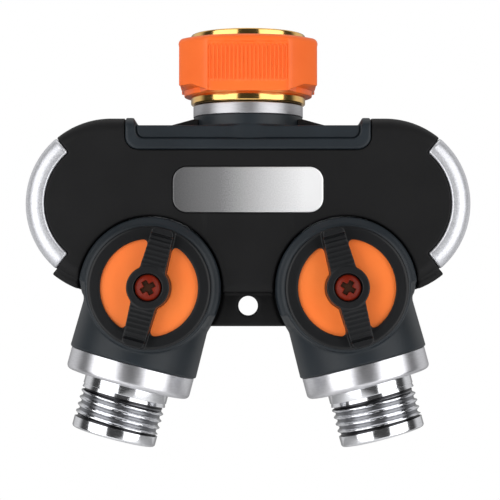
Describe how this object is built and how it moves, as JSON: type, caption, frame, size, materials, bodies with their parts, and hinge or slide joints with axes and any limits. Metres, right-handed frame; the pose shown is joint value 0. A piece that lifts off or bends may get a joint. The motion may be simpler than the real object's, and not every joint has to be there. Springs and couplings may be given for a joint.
{
  "type": "hose splitter",
  "caption": "Garden hose splitter with a swivel inlet nut and splayed threaded outlets, each with a quarter-turn lever valve.",
  "frame": {"origin": "centre of the inlet nut's mouth", "axes": "+Z out of the inlet along the swivel's axis, +X to the right seen from the lever side, and the levers face -Y"},
  "size_m": [0.1376, 0.0527, 0.13],
  "materials": {
    "brass": "polished",
    "orange_plastic": "fine satin moulding",
    "black_rubber": "matte",
    "spring_steel": "plain",
    "satin_aluminium": "satin",
    "turned_aluminium": "turned, bright",
    "cast_alloy": "as cast",
    "black_plastic": "fine matte texture",
    "slate_rubber": "soft-touch satin",
    "silver_paint": "satin metallic with fine flake",
    "white_plastic": "waxy",
    "plated_ball": "polished",
    "red_screw": "satin"
  },
  "bodies": {
    "splitter_body": {"manifold": "cast_alloy", "inlet_collar": "satin_aluminium", "nut_retaining_ring": "spring_steel", "front_shell": "black_plastic", "rear_shell": "black_plastic", "top_saddle": "slate_rubber", "left_end_trim": "silver_paint", "right_end_trim": "silver_paint", "name_plate": "satin_aluminium", "housing_screws": "spring_steel", "left_valve_sleeve": "slate_rubber", "left_outlet_fitting": "turned_aluminium", "left_fitting_o_ring": "black_rubber", "left_upstream_seat": "white_plastic", "left_downstream_seat": "white_plastic", "left_stem_washer": "white_plastic", "right_valve_sleeve": "slate_rubber", "right_outlet_fitting": "turned_aluminium", "right_fitting_o_ring": "black_rubber", "right_upstream_seat": "white_plastic", "right_downstream_seat": "white_plastic", "right_stem_washer": "white_plastic"},
    "inlet_swivel": {"swivel_nut": "brass", "grip_sleeve": "orange_plastic", "inlet_washer": "black_rubber"},
    "left_valve": {"left_valve_ball": "plated_ball", "left_valve_stem": "brass", "left_stem_o_rings": "black_rubber", "left_dial_disc": "orange_plastic", "left_lever_knob": "black_plastic", "left_lever_screw": "red_screw"},
    "right_valve": {"right_valve_ball": "plated_ball", "right_valve_stem": "brass", "right_stem_o_rings": "black_rubber", "right_dial_disc": "orange_plastic", "right_lever_knob": "black_plastic", "right_lever_screw": "red_screw"}
  },
  "joints": [
    {"name": "inlet_spin", "type": "hinge", "parent": "splitter_body", "child": "inlet_swivel", "pos_m": [0, 0, 0], "axis": [0, 0, 1], "continuous": true},
    {"name": "left_valve_turn", "type": "hinge", "parent": "splitter_body", "child": "left_valve", "pos_m": [-0.0301, 0, -0.0802], "axis": [0, 1, 0], "range_deg": [0, 90]},
    {"name": "right_valve_turn", "type": "hinge", "parent": "splitter_body", "child": "right_valve", "pos_m": [0.0301, 0, -0.0802], "axis": [0, 1, 0], "range_deg": [0, 90]}
  ]
}
